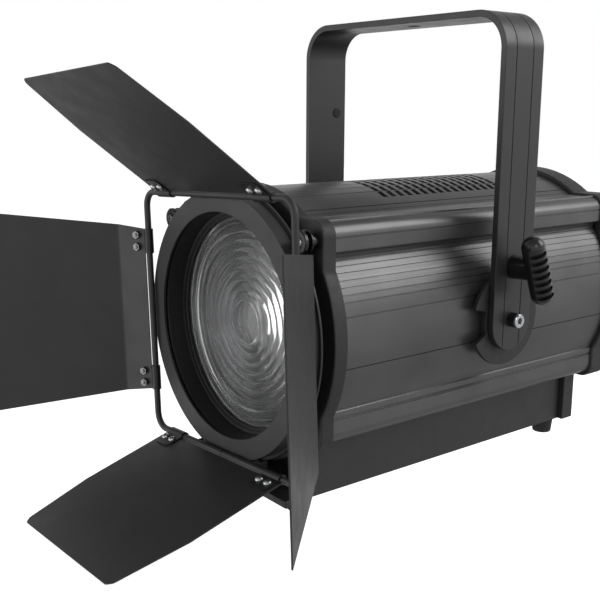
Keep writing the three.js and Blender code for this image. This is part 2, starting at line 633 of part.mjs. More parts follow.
function carriagePlate() {
  const plate = box(-CARRIAGE.width / 2, CARRIAGE.width / 2, CARRIAGE.y, CARRIAGE.y + CARRIAGE.thick,
    CARRIAGE.bottom, CARRIAGE.top);
  const bearings = [-1, 1].map((s) => rodY(9, CARRIAGE.y - 8, CARRIAGE.y + 12, s * RAIL.x, RAIL.z, 20));
  const nut = rodY(9, CARRIAGE.y - 8, CARRIAGE.y + 12, 0, SCREW.z, 20);
  const body = join(plate, ...bearings, nut);
  const clear = 0.4;
  return cut(body,
    rodY(RAIL.r + clear, -200, 200, RAIL.x, RAIL.z, 20),
    rodY(RAIL.r + clear, -200, 200, -RAIL.x, RAIL.z, 20),
    rodY(SCREW.r + clear, -200, 200, 0, SCREW.z, 20));
}
add('zoom_carriage', carriagePlate(), bare);

const LED_Y = CARRIAGE.y - GAP;
add('led_board', box(-30, 30, LED_Y - 3, LED_Y, -18, 42), boardGreen);
add('led_emitter', rodY(15, LED_Y - 5.3, LED_Y - 3 - GAP, 0, 12, 32), emitterYellow);

function heatSink() {
  const y0 = CARRIAGE.y + CARRIAGE.thick + GAP;
  const plate = box(-SINK.half, SINK.half, y0, y0 + SINK.base, SINK.low, SINK.high);
  const fins = [];
  const step = (2 * SINK.half - SINK.fin) / (SINK.fins - 1);
  for (let k = 0; k < SINK.fins; k += 1) {
    const x = -SINK.half + k * step;
    fins.push(box(x, x + SINK.fin, y0 + 1, y0 + SINK.depth, SINK.low, SINK.high));
  }
  return join(plate, ...fins);
}
add('heat_sink', heatSink(), bare);

const fanGroup = new THREE.Group();
fanGroup.position.set(0, CARRIAGE.y + CARRIAGE.thick + SINK.depth + 2 * GAP, 24);
lamp.add(fanGroup);

function fanFrame() {
  const shell = box(-FAN.half, FAN.half, 0, FAN.depth, -FAN.half, FAN.half);
  const duct = cut(shell, rodY(FAN.duct, -1, FAN.depth + 1, 0, 0, 48));
  const arms = join(box(-FAN.half + 1, FAN.half - 1, FAN.depth - 2, FAN.depth, -3, 3),
    box(-3, 3, FAN.depth - 2, FAN.depth, -FAN.half + 1, FAN.half - 1),
    rodY(FAN.hub, FAN.depth - 2, FAN.depth));
  return join(duct, arms);
}
add('fan_frame', fanFrame(), plastic, fanGroup);

/** Hub and pitched blades, turning inside the fan's frame. */
function fanRotor() {
  const pieces = [rodY(FAN.hub, 1, FAN.depth - 3)];
  for (let k = 0; k < FAN.blades; k += 1) {
    pieces.push(new THREE.BoxGeometry(FAN.duct - FAN.hub - 1, 1.6, 17).rotateX(38 * DEG)
      .translate((FAN.duct + FAN.hub) / 2 - 2, FAN.depth / 2 - 1, 0)
      .rotateY(k * 2 * Math.PI / FAN.blades));
  }
  return join(...pieces);
}
add('fan_rotor', fanRotor(), glossy, fanGroup);

add('control_board', box(-52, 52, PANEL_Y - 12, PANEL_Y - 9, -20, 60), boardGreen);

export default light;
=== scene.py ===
import math

import bmesh
import bpy
from mathutils import Matrix, Vector


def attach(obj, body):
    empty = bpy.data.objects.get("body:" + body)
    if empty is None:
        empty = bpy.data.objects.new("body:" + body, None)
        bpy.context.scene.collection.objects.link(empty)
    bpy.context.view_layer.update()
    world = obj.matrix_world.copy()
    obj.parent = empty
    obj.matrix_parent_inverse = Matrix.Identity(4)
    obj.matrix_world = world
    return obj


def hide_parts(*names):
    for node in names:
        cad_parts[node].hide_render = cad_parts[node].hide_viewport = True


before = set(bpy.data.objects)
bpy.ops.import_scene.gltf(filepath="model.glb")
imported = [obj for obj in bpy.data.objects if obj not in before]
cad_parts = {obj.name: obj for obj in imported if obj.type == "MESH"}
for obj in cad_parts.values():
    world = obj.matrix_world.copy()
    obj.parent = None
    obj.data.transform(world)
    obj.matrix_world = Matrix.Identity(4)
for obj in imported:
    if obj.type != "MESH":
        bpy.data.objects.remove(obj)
for name in ("Cube", "Light", "Camera"):
    if name in bpy.data.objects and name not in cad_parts:
        bpy.data.objects.remove(bpy.data.objects[name])
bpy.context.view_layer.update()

# ------------------------------------------------------------------ places and sizes
# Pieces are drawn in millimetres from the tilt axis, as the CAD is: +X to the clamp lever, the lens along -Y.

PI = math.pi
LAMP = Matrix.Translation((0, 0, -0.268)) @ Matrix.Scale(0.001, 4)
BARN = LAMP @ Matrix.Rotation(math.radians(-2.93), 4, "Y")

YOKE_TOP, YOKE_HALF, YOKE_BAR, YOKE_HALF_WIDTH, YOKE_BEND = 268, 134, 6, 25, 33
BODY_R, BODY_FRONT, BODY_REAR = 118.5, -184, 168
FRONT_FACE, REAR_FACE = -198, 194
FRAME_HALF, FRAME_Y, FRAME_BEND, ROD_R = 113.85, -226.9, 14, 3
LENS_FACE, LENS_BACK = -197, -190
CAP_R, CAP_HALF, CAP_TOP, CAP_BOTTOM = 123, 107, 100.5, -92
LEVER_Z = 48
ROLLER_CENTRE, ROLLER_ANGLE, ROLLER_FRONT = 127.8, math.radians(41), -214.5
FLOOR_Z = -0.62
MIRROR_X = Matrix.Scale(-1, 4, (1, 0, 0))


# ------------------------------------------------------------------ materials

class Look:
    """A procedural material: a Principled shader and the nodes that drive it, in the object's own metres."""

    def __init__(self, name, color, rough, metal=0.0, **inputs):
        self.material = bpy.data.materials.new(name)
        self.material.use_nodes = True
        self.tree = self.material.node_tree
        self.shader = self.tree.nodes["Principled BSDF"]
        self.shader.inputs["Base Color"].default_value = (*color, 1)
        self.shader.inputs["Roughness"].default_value = rough
        self.shader.inputs["Metallic"].default_value = metal
        for key, value in inputs.items():
            self.shader.inputs[key.replace("_", " ")].default_value = value
        self.place = self.node("ShaderNodeTexCoord").outputs["Object"]

    def node(self, kind, **props):
        made = self.tree.nodes.new(kind)
        for key, value in props.items():
            setattr(made, key, value)
        return made

    def link(self, output, target):
        self.tree.links.new(output, target)

    def stretched(self, scale):
        mapping = self.node("ShaderNodeMapping")
        mapping.inputs["Scale"].default_value = scale
        self.link(self.place, mapping.inputs["Vector"])
        return mapping.outputs["Vector"]

    def noise(self, scale, detail=3.0, rough=0.55, vector=None):
        noise = self.node("ShaderNodeTexNoise")
        noise.inputs["Scale"].default_value = scale
        noise.inputs["Detail"].default_value = detail
        noise.inputs["Roughness"].default_value = rough
        self.link(vector or self.place, noise.inputs["Vector"])
        return noise.outputs["Fac"]

    def ramp(self, value, *stops):
        ramp = self.node("ShaderNodeValToRGB")
        ramp.color_ramp.elements[0].position = stops[0][0]
        ramp.color_ramp.elements[1].position = stops[-1][0]
        for place, _ in stops[1:-1]:
            ramp.color_ramp.elements.new(place)
        for element, (_, color) in zip(ramp.color_ramp.elements, stops):
            element.color = (*color, 1) if hasattr(color, "__len__") else (color, color, color, 1)
        self.link(value, ramp.inputs["Fac"])
        return ramp.outputs["Color"]

    def color(self, value):
        self.link(value, self.shader.inputs["Base Color"])
        return self

    def rough(self, value):
        self.link(value, self.shader.inputs["Roughness"])
        return self

    def bump(self, *layers):
        """Layers of (height, strength, distance in metres), the first underneath."""
        normal = None
        for height, strength, distance in layers:
            bump = self.node("ShaderNodeBump")
            bump.inputs["Strength"].default_value = strength
            bump.inputs["Distance"].default_value = distance
            self.link(height, bump.inputs["Height"])
            if normal:
                self.link(normal, bump.inputs["Normal"])
            normal = bump.outputs["Normal"]
        self.link(normal, self.shader.inputs["Normal"])
        return self


def grey(value):
    return (value, value, value)


def powder_coat(name, value, rough):
    """Fine black powder coat: a tight orange peel, faint clouding and paler high spots."""
    look = Look(name, grey(value), rough)
    cloud = look.noise(9, 4, 0.6)
    look.color(look.ramp(cloud, (0.3, grey(value * 0.86)), (0.7, grey(value * 1.16))))
    look.rough(look.ramp(look.noise(45, 3), (0.35, rough - 0.04), (0.65, rough + 0.05)))
    look.bump((look.noise(1500, 2), 0.35, 0.00006), (look.noise(4200, 1), 0.25, 0.00003))
    return look.material


def extrusion_finish(name, value, rough):
    """Black anodised extrusion: satin, with faint draw lines along its length and soft clouding."""
    look = Look(name, grey(value), rough, 0.75)
    drawn = look.noise(1, 3, 0.6, look.stretched((900, 6, 900)))
    cloud = look.noise(14, 3, 0.5)
    look.color(look.ramp(cloud, (0.3, grey(value * 0.84)), (0.7, grey(value * 1.14))))
    look.rough(look.ramp(drawn, (0.3, rough - 0.05), (0.7, rough + 0.07)))
    look.bump((drawn, 0.12, 0.00004), (look.noise(2600, 1), 0.12, 0.00002))
    return look.material


def moulded(name, value, rough, grain=900, depth=0.00005):
    """Moulded black plastic with a fine spark grain."""
    look = Look(name, grey(value), rough)
    look.color(look.ramp(look.noise(20, 3), (0.3, grey(value * 0.88)), (0.7, grey(value * 1.12))))
    look.rough(look.ramp(look.noise(160, 2), (0.35, rough - 0.04), (0.65, rough + 0.05)))
    look.bump((look.noise(grain, 2), 0.3, depth), (look.noise(grain * 2.6, 1), 0.2, depth / 2))
    return look.material


def plated(name, color, rough, scale=600):
    """Bright plating: fine wear in its gloss and a slight unevenness."""
    look = Look(name, color, rough, 1.0)
    dull = tuple(c * 0.82 for c in color)
    look.color(look.ramp(look.noise(180, 3), (0.35, dull), (0.7, color)))
    look.rough(look.ramp(look.noise(scale, 2), (0.35, rough - 0.05), (0.65, rough + 0.08)))
    look.bump((look.noise(scale * 2, 2), 0.12, 0.00003))
    return look.material


def drawn_metal(name, color, rough, along):
    """Metal with draw or mill lines in one direction; along is that direction's stretch on (x, y, z)."""
    look = Look(name, color, rough, 1.0)
    lines = look.noise(1, 3, 0.6, look.stretched(along))
    look.color(look.ramp(lines, (0.3, tuple(c * 0.85 for c in color)), (0.7, color)))
    look.rough(look.ramp(lines, (0.3, rough - 0.06), (0.7, rough + 0.08)))
    look.bump((lines, 0.15, 0.00004))
    return look.material


def lens_glass():
    look = Look("lens_glass", (0.9, 0.91, 0.92), 0.04, 0.0, Transmission_Weight=0.94, IOR=1.5)
    look.rough(look.ramp(look.noise(40, 3), (0.3, 0.07), (0.7, 0.1)))
    return look.material


def circuit_board():
    look = Look("circuit_board", (0.015, 0.11, 0.04), 0.35)
    tracks = look.node("ShaderNodeTexBrick", offset=0.5)
    tracks.inputs["Scale"].default_value = 160
    tracks.inputs["Mortar Size"].default_value = 0.06
    tracks.inputs["Color1"].default_value = (0.012, 0.1, 0.035, 1)
    tracks.inputs["Color2"].default_value = (0.018, 0.13, 0.05, 1)
    tracks.inputs["Mortar"].default_value = (0.05, 0.22, 0.09, 1)
    look.link(look.place, tracks.inputs["Vector"])
    look.color(tracks.outputs["Color"])
    look.rough(look.ramp(look.noise(120, 2), (0.3, 0.3), (0.7, 0.42)))
    look.bump((tracks.outputs["Fac"], 0.2, 0.00004))
    return look.material


def phosphor():
    look = Look("phosphor", (0.8, 0.55, 0.06), 0.4)
    dots = look.node("ShaderNodeTexVoronoi")
    dots.inputs["Scale"].default_value = 420
    look.link(look.place, dots.inputs["Vector"])
    look.color(look.ramp(dots.outputs["Distance"], (0.1, (0.86, 0.62, 0.08)), (0.6, (0.7, 0.42, 0.03))))
    look.bump((dots.outputs["Distance"], 0.3, 0.0001))
    return look.material


def smoked_window():
    look = Look("smoked_window", (0.012, 0.022, 0.03), 0.08, Coat_Weight=0.6)
    look.color(look.ramp(look.noise(60, 2), (0.3, (0.01, 0.018, 0.026)), (0.7, (0.015, 0.028, 0.036))))
    look.rough(look.ramp(look.noise(90, 3), (0.3, 0.06), (0.7, 0.14)))
    return look.material


POWDER = powder_coat("powder_coat", 0.013, 0.5)
LEAF = powder_coat("leaf_coat", 0.014, 0.46)
BAR = powder_coat("yoke_coat", 0.014, 0.38)
ANODISED = extrusion_finish("anodised", 0.1, 0.34)
CAP = moulded("cap_plastic", 0.01, 0.56)
BARREL = moulded("barrel_plastic", 0.003, 0.6)
CLIP = powder_coat("clip_coat", 0.004, 0.4)
GLOSSY = moulded("lever_plastic", 0.004, 0.25, 500, 0.00002)
RUBBER = moulded("rubber", 0.009, 0.8, 1200, 0.00008)
ZINC = plated("zinc", (0.55, 0.56, 0.58), 0.26)
NUT = plated("nut_plate", (0.2, 0.2, 0.205), 0.3)
NICKEL = plated("nickel", (0.42, 0.42, 0.43), 0.3)
# Dark nickel: painted shade and painted reflection on the tilt collars and their socket floors, and painted shade
# on the left roller screw.
NICKEL_PAINTED_SHADE = plated("nickel_painted_shade", (0.1, 0.1, 0.105), 0.32)
GROUND = drawn_metal("ground_rod", (0.55, 0.56, 0.58), 0.25, (700, 30, 700))
MILL = drawn_metal("mill_aluminium", (0.5, 0.51, 0.53), 0.38, (600, 600, 25))
GLASS = lens_glass()
BOARD = circuit_board()
PHOSPHOR = phosphor()
SCREEN = smoked_window()


# ------------------------------------------------------------------ mesh helpers

def outline_arc(cx, cy, r, start, stop, steps):
    """Points on an arc, the angle in degrees from the first axis."""
    turn = [math.radians(start + (stop - start) * k / steps) for k in range(steps + 1)]
    return [(cx + r * math.cos(a), cy + r * math.sin(a)) for a in turn]


def on_axis(axis, u, v, w):
    """(u, v) in the plane and w along the axis: (y, z) for X, (x, z) for Y, (x, y) for Z."""
    return {"X": (w, u, v), "Y": (u, w, v), "Z": (u, v, w)}[axis]


def prism(outline, low, high, axis="Y"):
    """A closed outline carried along an axis."""
    bm = bmesh.new()
    ends = [[bm.verts.new(on_axis(axis, u, v, w)) for u, v in outline] for w in (low, high)]
    count = len(outline)
    bm.faces.new(ends[0])
    bm.faces.new(ends[1])
    for k in range(count):
        n = (k + 1) % count
        bm.faces.new((ends[0][k], ends[0][n], ends[1][n], ends[1][k]))
    return tidy(bm)


def hoop(outer, inner, low, high, axis="Y"):
    """Two outlines of the same count, one inside the other, as an open frame."""
    bm = bmesh.new()
    loops = [[bm.verts.new(on_axis(axis, u, v, w)) for u, v in line]
             for line, w in ((outer, low), (outer, high), (inner, high), (inner, low))]
    count = len(outer)
    for k in range(count):
        n = (k + 1) % count
        for a, b in ((0, 1), (1, 2), (2, 3), (3, 0)):
            bm.faces.new((loops[a][k], loops[a][n], loops[b][n], loops[b][k]))
    return tidy(bm)


def lathe(profile, sides=64, axis="Y", centre=(0, 0)):
    """A profile of (radius, place along the axis) turned round; radius 0 closes the end."""
    bm = bmesh.new()
    rings = []
    for r, w in profile:
        if r == 0:
            rings.append([bm.verts.new(on_axis(axis, *centre, w))])
            continue
        turn = [2 * PI * k / sides for k in range(sides)]
        rings.append([bm.verts.new(on_axis(axis, centre[0] + r * math.cos(a), centre[1] + r * math.sin(a), w))
                      for a in turn])
    closed = profile[0][0] > 0 and profile[-1][0] > 0
    pairs = list(zip(rings, rings[1:])) + ([(rings[-1], rings[0])] if closed else [])
    for a, b in pairs:
        for k in range(sides):
            n = (k + 1) % sides
            if len(a) == 1:
                bm.faces.new((a[0], b[n], b[k]))
            elif len(b) == 1:
                bm.faces.new((a[k], a[n], b[0]))
            else:
                bm.faces.new((a[k], a[n], b[n], b[k]))
    return tidy(bm)


def swept(stations, closed=False):
    """A skin over stations, each a list of points of the same count."""
    bm = bmesh.new()
    rings = [[bm.verts.new(p) for p in points] for points in stations]
    count = len(rings[0])
    pairs = list(zip(rings, rings[1:])) + ([(rings[-1], rings[0])] if closed else [])
    for a, b in pairs:
        for k in range(count):
            n = (k + 1) % count
            bm.faces.new((a[k], a[n], b[n], b[k]))
    if not closed:
        bm.faces.new(rings[0])
        bm.faces.new(rings[-1])
    return tidy(bm)


def block(x0, x1, y0, y1, z0, z1):
    return prism([(x0, z0), (x1, z0), (x1, z1), (x0, z1)], y0, y1)


def tidy(bm):
    bmesh.ops.recalc_face_normals(bm, faces=bm.faces)
    return bm


def moved(bm, matrix):
    bm.transform(matrix)
    if matrix.determinant() < 0:
        bmesh.ops.reverse_faces(bm, faces=bm.faces)
    return bm


def merged(*parts):
    """Several closed shapes in one mesh."""
    whole = bmesh.new()
    for part in parts:
        mesh = bpy.data.meshes.new("part")
        part.to_mesh(mesh)
        part.free()
        whole.from_mesh(mesh)
        bpy.data.meshes.remove(mesh)
    return whole


def soften(bm, width, segments=2, angle=32):
    """Rounds every edge sharper than the angle."""
    edges = [e for e in bm.edges if e.is_manifold and math.degrees(e.calc_face_angle(0)) > angle]
    bmesh.ops.bevel(bm, geom=edges, offset=width, segments=segments, profile=0.5, affect="EDGES",
                    clamp_overlap=True)
    return tidy(bm)


def as_object(bm, name="tool"):
    mesh = bpy.data.meshes.new(name)
    bm.to_mesh(mesh)
    bm.free()
    made = bpy.data.objects.new(name, mesh)
    bpy.context.scene.collection.objects.link(made)
    return made


def carved(bm, *tools, operation="DIFFERENCE"):
    """The first shape with the others cut out of it, or joined to it."""
    base = as_object(bm, "base")
    cutters = [as_object(tool) for tool in tools]
    for cutter in cutters:
        step = base.modifiers.new("carve", "BOOLEAN")
        step.operation, step.solver, step.object = operation, "EXACT", cutter
    graph = bpy.context.evaluated_depsgraph_get()
    mesh = bpy.data.meshes.new_from_object(base.evaluated_get(graph))
    for item in [base, *cutters]:
        data = item.data
        bpy.data.objects.remove(item)
        bpy.data.meshes.remove(data)
    out = bmesh.new()
    out.from_mesh(mesh)
    bpy.data.meshes.remove(mesh)
    bmesh.ops.dissolve_degenerate(out, dist=1e-4, edges=out.edges)
    return out


def piece(name, bm, material, body, replaces=(), place=LAMP, sharp=34):
    """A finished piece: the mesh in the row frame, smooth but for its sharp edges, riding on its body."""
    made = as_object(moved(bm, place), name)
    made.data.materials.append(material)
    made.data.shade_smooth()
    made.data.set_sharp_from_angle(angle=math.radians(sharp))
    weighted = made.modifiers.new("even_faces", "WEIGHTED_NORMAL")
    weighted.keep_sharp = True
    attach(made, body)
    if replaces:
        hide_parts(*replaces)


def finish_node(name, material, round_edges=0.0):
    """A carried-over CAD node: its material, and soft edges where they show."""
    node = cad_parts[name]
    node.data.materials.clear()
    node.data.materials.append(material)
    weld = node.modifiers.new("weld", "WELD")
    weld.merge_threshold = 0.00001
    if round_edges:
        flat = node.modifiers.new("flat", "DECIMATE")
        flat.decimate_type = "DISSOLVE"
        flat.angle_limit = math.radians(2)
        bevel = node.modifiers.new("edges", "BEVEL")
        bevel.width, bevel.segments, bevel.limit_method = round_edges, 2, "ANGLE"
        bevel.angle_limit = math.radians(32)
        bevel.harden_normals = True


def screw_head(r, height, kind="cross", sides=24):
    """A screw head standing on z = 0, with its recess: a cross in a pan head, or a hex socket."""
    if kind == "socket":
        head = lathe([(0, 0), (r, 0), (r, height - 0.7), (r - 0.7, height), (0, height)], sides, "Z")
        hexagon = outline_arc(0, 0, r * 0.5, 0, 300, 5)
        mouth = [(0, height - 0.9), (r * 0.5, height - 0.35), (r * 0.6, height + 0.4), (0, height + 0.4)]
        return carved(head, prism(hexagon, height * 0.2, height + 1, "Z"), lathe(mouth, 18, "Z"))
    dome = [(r * math.cos(a), 0.25 * height + 0.75 * height * math.sin(a))
            for a in [PI / 2 * k / 6 for k in range(6)]]
    head = lathe([(0, 0), (r, 0), *dome, (0, height)], sides, "Z")
    bar = r * 0.13
    slots = [block(-r * 0.55, r * 0.55, -bar, bar, height * 0.35, height + 1),
             block(-bar, bar, -r * 0.55, r * 0.55, height * 0.35, height + 1)]
    return carved(head, *slots)


def nut(r, height):
    """A hexagon nut on z = 0 with chamfered corners and the screw's end in it."""
    body = soften(prism(outline_arc(0, 0, r, 0, 300, 5), 0, height, "Z"), 0.25, 1)
    end = [(0, height - 0.2), (r * 0.52, height - 0.2), (r * 0.52, height + 0.7), (r * 0.4, height + 1.0),
           (0, height + 1.0)]
    return merged(body, lathe(end, 16, "Z"))


def facing(point, direction):
    """A place for a screw: its z along direction, at a point."""
    turn = Vector(direction).to_track_quat("Z", "Y").to_matrix().to_4x4()
    return Matrix.Translation(point) @ turn


# ------------------------------------------------------------------ yoke and clamp

def groove(at, width=0.55, depth=0.7):
    """A narrow groove in the bar's outer face, as (place across the bar, depth)."""
    return [(at - width, 0), (at - width * 0.45, depth), (at + width * 0.45, depth), (at + width, 0)]


def yoke():
    """A flat bar bent into a U, with two grooves along its outer face and round ends."""
    half = YOKE_HALF_WIDTH
    face = [(-half + 0.8, 0), *groove(-11), *groove(11), (half - 0.8, 0)]
    section = face + [(half - 0.23, 0.23), (half, 0.8), (half, YOKE_BAR - 0.8), (half - 0.23, YOKE_BAR - 0.23),
                      (half - 0.8, YOKE_BAR), (-half + 0.8, YOKE_BAR), (-half + 0.23, YOKE_BAR - 0.23),
                      (-half, YOKE_BAR - 0.8), (-half, 0.8), (-half + 0.23, 0.23)]
    end_z = -3

    def station(x, z, nx, nz, reach):
        points = []
        for y, depth in section:
            if abs(y) > half - 1:
                y = math.copysign(reach - (half - abs(y)), y)
            elif abs(y) > reach - 1.2:
                y, depth = math.copysign(reach - 1.2, y), 0
            points.append((x - nx * depth, y, z - nz * depth))
        return points

    run = []
    for side in (1, -1):
        x = side * YOKE_HALF
        end = [station(x, end_z - half * math.sin(a), side, 0, half * math.cos(a))
               for a in [math.radians(d) for d in (86.5, 80, 72, 64, 55, 46, 37, 28, 19, 9, 0)]]
        centre_x, centre_z = side * (YOKE_HALF - YOKE_BEND), YOKE_TOP - YOKE_BEND
        bend = [station(centre_x + side * YOKE_BEND * math.cos(a), centre_z + YOKE_BEND * math.sin(a),
                        side * math.cos(a), math.sin(a), half)
                for a in [PI / 2 * k / 16 for k in range(17)]]
        straight = [station(x, z, side, 0, half) for z in (60, 120, 180)]
        run += (end + straight + bend) if side == 1 else (end + straight + bend)[::-1]
    bar = swept(run)

    def drill(r, x, y, z, axis):
        """A hole through the bar with a small chamfer at its outer end."""
        rim = [(0, -12), (r, -12), (r, -YOKE_BAR / 2), (r, -0.5), (r + 0.9, 0.4), (r + 0.9, 2), (0, 2)]
        tool = lathe(rim, 36, "Z")
        return moved(tool, facing((x, y, z), axis))

    return carved(bar, drill(6.5, 0, 0, YOKE_TOP, (0, 0, 1)), drill(4.4, YOKE_HALF, 0, LEVER_Z, (1, 0, 0)),
                  drill(4.4, YOKE_HALF, 0, 0, (1, 0, 0)), drill(4.4, -YOKE_HALF, 0, 0, (-1, 0, 0)))


piece("yoke_bar", yoke(), BAR, "yoke", ["yoke_bracket"])
piece("arm_plug", lathe([(0, -0.5), (5.2, -0.5), (5.2, 0.4), (4.6, 0.9), (0, 1.1)], 32, "Z"), RUBBER, "yoke",
      place=LAMP @ facing((-YOKE_HALF + YOKE_BAR, 13, 180), (1, 0, 0)))


def tilt_disc(side):
    """The disc beside the arm: a round rim with one notch at its front, and a boss against the housing."""
    outline = outline_arc(0, 0, 43, -180 + 26, 180 - 17, 88)
    outline += outline_arc(0, 0, 28, 180 - 19, 180 + 24, 14)
    rim = soften(prism(outline, 123.5, 127.6, "X"), 0.6, 2)
    boss = lathe([(0, 111), (25, 111), (25, 122.4), (27, 123.6), (0, 123.6)], 48, "X")
    boss = carved(boss, lathe([(0, -60), (118.7, -60), (118.7, 60), (0, 60)], 160, "Y"))
    disc = carved(rim, boss, operation="UNION")
    return moved(disc, MIRROR_X) if side < 0 else disc


def pivot_screw(side):
    """A socket head screw: a knurled collar made dark as painted shade and painted reflection, a dark disc in the
    socket as painted shade, and the head's bright end.
    """
    knurl = []
    for k in range(96):
        a, r = 2 * PI * k / 96, 6.5 if k % 2 else 6.15
        knurl.append((r * math.cos(a), r * math.sin(a)))
    out = YOKE_HALF
    collar = merged(prism(knurl, out + 0.3, out + 7.2, "X"),
                    lathe([(0, 120), (4, 120), (4, out + 0.4), (0, out + 0.4)], 24, "X"),
                    # A dark disc inside the socket: painted shade in the recess.
                    lathe([(0, out + 7), (2.65, out + 7), (2.65, out + 7.8), (0, out + 7.8)], 24, "X"))
    face = moved(screw_head(6.3, 2.6, "socket", 48), facing((out + 7.1, 0, 0), (1, 0, 0)))
    if side < 0:
        collar, face = (moved(bm, MIRROR_X) for bm in (collar, face))
    return collar, face


for name, side in (("right", 1), ("left", -1)):
    piece(f"friction_disc_{name}", tilt_disc(side), CAP, "head", [f"tilt_disc_{name}"])
    collar, face = pivot_screw(side)
    piece(f"tilt_collar_{name}", collar, NICKEL_PAINTED_SHADE, "head", [f"pivot_screw_{name}"])
    piece(f"tilt_screw_{name}", face, ZINC, "head")


def lever():
    """A bar grip across a round hub: domed ends and seven finger slots across its outer face."""
    r, length = 10.3, 65
    reach = length / 2 - r
    dome = [(r * math.cos(a), reach + r * math.sin(a)) for a in [PI / 2 * k / 10 for k in range(10)]]
    profile = [(0, -reach - r), *[(a, -b) for a, b in dome[::-1]], *dome, (0, reach + r)]
    grip = lathe(profile, 48, "Z")
    slots = []
    first_slot, slot_pitch = 17.6, 6.7
    for k in range(7):
        z = first_slot - slot_pitch * k
        slot = outline_arc(6.4, z, 1.9, -90, 90, 6) + outline_arc(-6.4, z, 1.9, 90, 270, 6)
        slots.append(prism(slot, 4.4, 14, "X"))
    grip = carved(grip, merged(*slots))
    lean, twist = Matrix.Rotation(math.radians(20.4), 4, "X"), Matrix.Rotation(math.radians(-27), 4, "Z")
    grip = moved(grip, Matrix.Translation((159.5, 0, LEVER_Z)) @ lean @ twist)
    centre = (0, LEVER_Z)
    hub = lathe([(0, 134.3), (10.2, 134.3), (10.6, 134.8), (9.9, 146), (9.6, 157), (0, 157)], 40, "X", centre)
    stud = lathe([(0, 123.6), (3.6, 123.6), (4, 124.2), (4, 134.5), (0, 134.5)], 20, "X", centre)
    return merged(carved(grip, hub, operation="UNION"), stud)


piece("lever_grip", lever(), GLOSSY, "clamp_lever", ["clamp_lever"])
finish_node("clamp_shoe", NICKEL, 0.0004)


# ------------------------------------------------------------------ housing

def circle_groove(angle, r, width=0.5, depth=0.8):
    """A narrow groove in an arc, at an angle in degrees from the top towards +X."""
    half = math.degrees(width / r)
    return [(angle - half, r), (angle - half * 0.5, r - depth), (angle + half * 0.5, r - depth), (angle + half, r)]


def polar(points):
    """(x, z) of points given as (degrees from the top towards +X, radius)."""
    return [(r * math.sin(math.radians(a)), r * math.cos(math.radians(a))) for a, r in points]


def arc_with_grooves(start, stop, grooves, r, step=1.5):
    """Points (angle, radius) along an arc from start to stop, with grooves let into it."""
    cuts = [circle_groove(g, r) for g in grooves]
    count = max(2, round((stop - start) / step))
    plain = [(start + (stop - start) * k / count, r) for k in range(count + 1)]
    plain = [p for p in plain if all(not c[0][0] - 0.1 < p[0] < c[-1][0] + 0.1 for c in cuts)]
    return sorted(plain + [p for c in cuts for p in c], key=lambda p: p[0])


COVER_EDGE = math.degrees(math.asin(64 / BODY_R))
SLOT_ROWS, SLOT_PITCH, SLOT_HALF, SLOT_REACH = 16, 10.4, 2.9, 24.7


def top_cover():
    """The arched cover: fine grooves along it, and rows of slots that its inner ribs cross."""
    grooves = [7.6, 13.2, 18.9, 30.1]
    both_sides = sorted([-g for g in grooves] + [-1.9, 1.9] + grooves)
    outer = arc_with_grooves(-COVER_EDGE, COVER_EDGE, both_sides, BODY_R)
    inner = [(a, BODY_R - 3) for a in [COVER_EDGE * (1 - k / 16) for k in range(33)]]
    shell = prism(polar(outer) + polar(inner), BODY_FRONT + 0.3, BODY_REAR - 0.3)
    ribs = [-24.7, -18.9, -13.2, -7.6, -1.9, 1.9, 7.6, 13.2, 18.9, 24.7]
    rows = [(row - (SLOT_ROWS - 1) / 2) * SLOT_PITCH for row in range(SLOT_ROWS)]
    between_ribs, above_ribs = [], []
    for y in rows:
        for low, high in zip(ribs, ribs[1:]):
            start, stop = low + 0.45, high - 0.45
            wedge = polar([(start, BODY_R + 2), (stop, BODY_R + 2), (stop, BODY_R - 5), (start, BODY_R - 5)])
            between_ribs.append(prism(wedge, y - SLOT_HALF, y + SLOT_HALF))
        band = [(-SLOT_REACH + SLOT_REACH * k / 12, BODY_R + 2) for k in range(25)]
        band += [(SLOT_REACH - SLOT_REACH * k / 12, BODY_R - 0.35) for k in range(25)]
        above_ribs.append(prism(polar(band), y - SLOT_HALF, y + SLOT_HALF))
    return carved(shell, merged(*between_ribs), merged(*above_ribs))


piece("vented_cover", top_cover(), ANODISED, "head", ["top_cover"], sharp=28)


